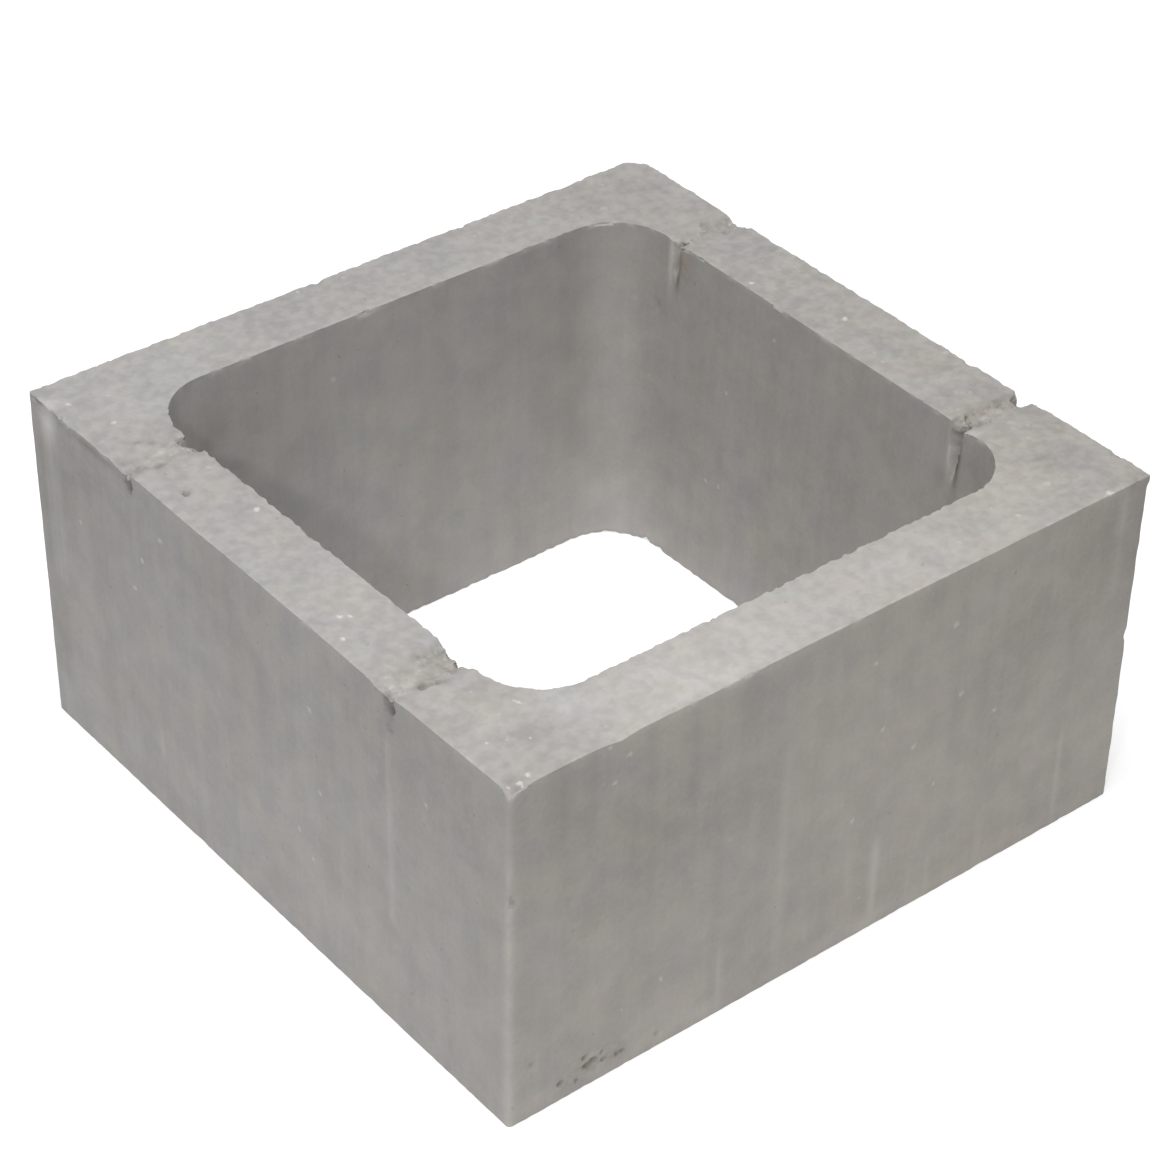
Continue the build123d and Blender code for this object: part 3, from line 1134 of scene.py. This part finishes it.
def surface(tree):
    """The places, faces and noises that the concrete's colours and its relief share."""
    place = make(tree, "ShaderNodeTexCoord").outputs["Object"]
    ragged = wandering(tree, place, 3 * MM, 2.0 * MM)
    x, y, z = make(tree, "ShaderNodeSeparateXYZ", {0: ragged}).outputs
    return Surface(
        place=place,
        ragged=ragged,
        drag=make(tree, "ShaderNodeMapping", {"Vector": place, "Scale": (1, 1, 0.05)}).outputs[0],
        x=x,
        y=y,
        z=z,
        top=attribute(tree, "top_skin"),
        scar=attribute(tree, "scarred"),
        on_front=math_node(tree, "LESS_THAN", y, -HALF + FACE_MARGIN),
        on_left=math_node(tree, "LESS_THAN", x, -HALF + FACE_MARGIN),
        clouds=lumps(tree, place, 90 * MM, 4.0),
        patches=lumps(tree, place, 16 * MM, 3.0, 0.5),
        stones=lumps(tree, ragged, 6 * MM, 1.0, 0.5),
        crumbs=lumps(tree, ragged, 4 * MM, 3.0, 0.65),
        sand=lumps(tree, place, 2.4 * MM, 3.0, 0.6),
        pores=grains(tree, added(tree, ragged, (0.7, 0.3, 0.5)), 12 * MM, 1.1 * MM, 0.35),
    )


def skin_shade(tree, on):
    """How light the cement skin is: clouds, sand, paler low down and at the foot (partly painted
    bounce light from the floor), stones on top, drag lines beside, a little darker on top as painted
    shade.
    """
    shade = product(
        tree,
        between(tree, on.clouds, 0.3, 0.7, 0.965, 1.035),
        between(tree, on.patches, 0.3, 0.7, 0.96, 1.04),
        between(tree, on.sand, 0.25, 0.75, 0.965, 1.035),
        # paler low down and at the foot: partly the concrete's own colour, partly painted bounce
        # light from the floor
        between(tree, on.z, 0.0, HEIGHT, 1.05, 0.96),
        between(tree, on.z, 0.0, 16 * MM, 1.07, 1.0),
    )
    side = math_node(tree, "SUBTRACT", 1.0, on.top)
    drag_lines = lumps(tree, on.drag, 9 * MM, 3.0, 0.6)
    mottled = product(tree, between(tree, on.stones, 0.3, 0.7, -0.06, 0.06), on.top)
    streaky = product(tree, between(tree, drag_lines, 0.3, 0.7, -0.025, 0.025), side)
    for part in (mottled, streaky, attribute(tree, "tone")):
        shade = math_node(tree, "ADD", shade, part)
    # a little darker on top: painted shade that evens out the light from above
    return product(tree, shade, math_node(tree, "MULTIPLY_ADD", on.top, -0.01, 1.0))


def cement_skin(tree, on):
    """The colour of the cement skin: grey, warmer towards the front and X plus."""
    warmer = math_node(tree, "MULTIPLY", math_node(tree, "SUBTRACT", on.x, on.y), 0.15 / HALF)
    hue = between_plain(tree, lumps(tree, on.place, 32 * MM, 3.0), 0.31, 0.85)
    hue = math_node(tree, "MULTIPLY_ADD", on.on_front, 0.32, hue)
    hue = math_node(tree, "ADD", hue, warmer)
    colour = mixed(tree, hue, COOL_GREY, WARM_GREY)
    colour = mixed(tree, between(tree, on.clouds, 0.35, 0.65, 0.4, 0.9), GREY, colour)
    shade = skin_shade(tree, on)
    green = lumps(tree, added(tree, on.place, (0.4, 0.9, 0.2)), 12 * MM, 4.0)
    green = product(tree, shade, between(tree, green, 0.3, 0.7, 0.976, 1.012))
    tinted = make(tree, "ShaderNodeCombineColor", {0: shade, 1: green, 2: shade}).outputs[0]
    return mixed(tree, 1.0, colour, tinted, "MULTIPLY")


def broken_and_stained(tree, on, colour):
    """Adds painted shade in the hollows of the relief, pale bits and a greenish tinge where the
    concrete is broken, and rust.
    """
    # painted shade where the relief of broken concrete sinks into hollows
    hollows = product(tree, on.scar, between(tree, on.crumbs, 0.36, 0.5, 0.20, 0.0))
    colour = mixed(tree, hollows, colour, HOLLOW_SHADE)
    bits = product(tree, on.scar, between(tree, on.crumbs, 0.54, 0.66, 0.0, 0.45))
    colour = mixed(tree, bits, colour, PALE_BIT)
    greenish = product(tree, on.scar, between(tree, on.patches, 0.4, 0.6, 0.25, 0.0))
    colour = mixed(tree, greenish, colour, GREENISH)
    uneven = between(tree, on.crumbs, 0.35, 0.65, 0.7, 0.25)
    return mixed(tree, product(tree, attribute(tree, "stain"), uneven), colour, RUST)


def grains_and_pores(tree, on, colour):
    """Adds the scattered pale grains, the pores darkened as painted shade, and the single pale grains
    of the list.
    """
    fine_pale = grains(tree, on.ragged, 8 * MM, 1.2 * MM, 0.40)
    large_pale = grains(tree, on.ragged, 24 * MM, 2.4 * MM, 0.35)
    more_on_top = math_node(tree, "MULTIPLY_ADD", on.top, 0.12, 0.10)
    colour = mixed(tree, product(tree, fine_pale, more_on_top), colour, PALE_SAND)
    colour = mixed(tree, product(tree, large_pale, more_on_top), colour, PALE_STONE)
    # the pores, sunk in the relief, darkened as painted shade
    colour = mixed(tree, product(tree, on.pores, 0.22), colour, DARK_PORE)
    listed = listed_grains(tree, wandering(tree, on.place, 2.5 * MM, 3.5 * MM))
    listed = product(tree, listed, math_node(tree, "MULTIPLY_ADD", on.top, 0.22, 0.38))
    return mixed(tree, listed, colour, PALEST_GRAIN)


def streaked_and_worn(tree, on, colour):
    """Adds the pale streaks down the front and the left face, and the paler arrises, partly worn and
    partly a painted highlight.
    """
    front = product(tree, streaks(tree, on.x, on.z, FRONT_STREAKS), on.on_front)
    left = product(tree, streaks(tree, on.y, on.z, LEFT_STREAKS), on.on_left)
    dusty = between(tree, lumps(tree, on.drag, 5 * MM, 2.0), 0.3, 0.6, 0.5, 1.0)
    streak = product(tree, math_node(tree, "MAXIMUM", front, left), dusty)
    colour = mixed(tree, streak, colour, DUST)
    uneven = between(tree, on.crumbs, 0.4, 0.6, 0.25, 0.75)
    # paler arrises: partly wear, partly a painted highlight
    return mixed(tree, product(tree, attribute(tree, "worn"), uneven), colour, WORN_EDGE_AND_HIGHLIGHT)


def relief(tree, on):
    """The fine relief of sand, stones, pores and crumbs, as a normal."""
    height = product(tree, on.sand, 0.3)
    height = math_node(tree, "MULTIPLY_ADD", on.patches, 0.5, height)
    height = math_node(tree, "ADD", height, product(tree, on.top, on.stones, 0.6))
    height = math_node(tree, "SUBTRACT", height, product(tree, on.pores, 0.6))
    height = math_node(tree, "ADD", height, product(tree, on.scar, on.crumbs, 1.5))
    inputs = {"Strength": 0.6, "Distance": 0.5 * MM, "Height": height}
    return make(tree, "ShaderNodeBump", inputs).outputs[0]


def concrete():
    """Pressed grey concrete: cement skin, clouds, grains of sand and stone, pores, pale streaks."""
    material = bpy.data.materials.new("concrete")
    tree = empty_tree(material)
    on = surface(tree)
    colour = cement_skin(tree, on)
    for layer in (broken_and_stained, grains_and_pores, streaked_and_worn):
        colour = layer(tree, on, colour)
    inputs = {"Base Color": colour, "Normal": relief(tree, on)}
    shader = make(tree, "ShaderNodeBsdfPrincipled", inputs)
    shader.inputs["Roughness"].default_value = 0.93
    shader.inputs["Specular IOR Level"].default_value = 0.25
    make(tree, "ShaderNodeOutputMaterial", {"Surface": shader.outputs[0]})
    return material


# The stage


def ray_seen(tree):
    """Whether a ray comes from the camera, or by way of a mirror or of glass."""
    rays = make(tree, "ShaderNodeLightPath").outputs
    seen = math_node(tree, "MAXIMUM", rays["Is Camera Ray"], rays["Is Glossy Ray"])
    return math_node(tree, "MAXIMUM", seen, rays["Is Transmission Ray"])


def floor_material():
    """A white floor that keeps a soft shadow, and is as pale as paper to the camera."""
    material = bpy.data.materials.new("white_floor")
    tree = empty_tree(material)
    matte = make(tree, "ShaderNodeBsdfDiffuse", {"Color": (0.86, 0.86, 0.86, 1)})
    lift = make(tree, "ShaderNodeEmission", {"Color": (1, 1, 1, 1), "Strength": 0.62})
    paler = make(tree, "ShaderNodeBsdfDiffuse", {"Color": (0.55, 0.55, 0.55, 1)})
    shown = make(tree, "ShaderNodeAddShader", {0: paler.outputs[0], 1: lift.outputs[0]})
    inputs = {0: ray_seen(tree), 1: matte.outputs[0], 2: shown.outputs[0]}
    whole = make(tree, "ShaderNodeMixShader", inputs)
    make(tree, "ShaderNodeOutputMaterial", {"Surface": whole.outputs[0]})
    return material


def floor():
    """A plain floor under the block."""
    bm = bmesh.new()
    bmesh.ops.create_grid(bm, x_segments=1, y_segments=1, size=12.0)
    mesh = bpy.data.meshes.new("floor")
    bm.to_mesh(mesh)
    bm.free()
    piece = bpy.data.objects.new("floor", mesh)
    bpy.context.scene.collection.objects.link(piece)
    mesh.materials.append(floor_material())


def sky():
    """Even soft light from all round, white behind the floor."""
    world = bpy.data.worlds.new("studio")
    bpy.context.scene.world = world
    tree = empty_tree(world)
    soft = make(tree, "ShaderNodeBackground", {"Color": (1, 1, 1, 1), "Strength": 0.35})
    white = make(tree, "ShaderNodeBackground", {"Color": (1, 1, 1, 1), "Strength": 1.0})
    inputs = {0: ray_seen(tree), 1: soft.outputs[0], 2: white.outputs[0]}
    whole = make(tree, "ShaderNodeMixShader", inputs)
    make(tree, "ShaderNodeOutputWorld", {"Surface": whole.outputs[0]})


def lamp(name, place, size, power):
    """A soft square lamp that looks at the block."""
    data = bpy.data.lights.new(name, "AREA")
    data.shape = "SQUARE"
    data.size = size
    data.energy = power
    light = bpy.data.objects.new(name, data)
    light.location = place
    aim = Vector((0, 0, HEIGHT / 2)) - light.location
    light.rotation_mode = "QUATERNION"
    light.rotation_quaternion = aim.to_track_quat("-Z", "Y")
    bpy.context.scene.collection.objects.link(light)


def camera():
    """The photograph's view: a long lens, looking down on the near corner."""
    aim = Vector((8.88, 10.37, 100.0)) * MM
    distance = 1673.0 * MM
    azimuth = math.radians(39.201)
    elevation = math.radians(36.356)
    roll = math.radians(1.0)
    level = math.cos(elevation)
    direction = Vector(
        (math.sin(azimuth) * level, math.cos(azimuth) * level, -math.sin(elevation))
    )
    data = bpy.data.cameras.new("camera")
    data.sensor_width = 36.0
    data.lens = 101.99
    data.clip_start = 50 * MM
    data.clip_end = 50.0
    eye = bpy.data.objects.new("camera", data)
    eye.location = aim - direction * distance
    eye.rotation_mode = "QUATERNION"
    eye.rotation_quaternion = direction.to_track_quat("-Z", "Y") @ Quaternion((0, 0, 1), roll)
    bpy.context.scene.collection.objects.link(eye)
    bpy.context.scene.camera = eye


bpy.context.scene.view_settings.view_transform = "Standard"
camera()
sky()
lamp("overhead", (-0.30, -0.15, 2.2), size=1.0, power=32)
lamp("window", (-1.47, -1.19, 1.57), size=0.14, power=9)
floor()

block = block_piece()
block.data.materials.append(concrete())
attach(block, "root")
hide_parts(NODE)
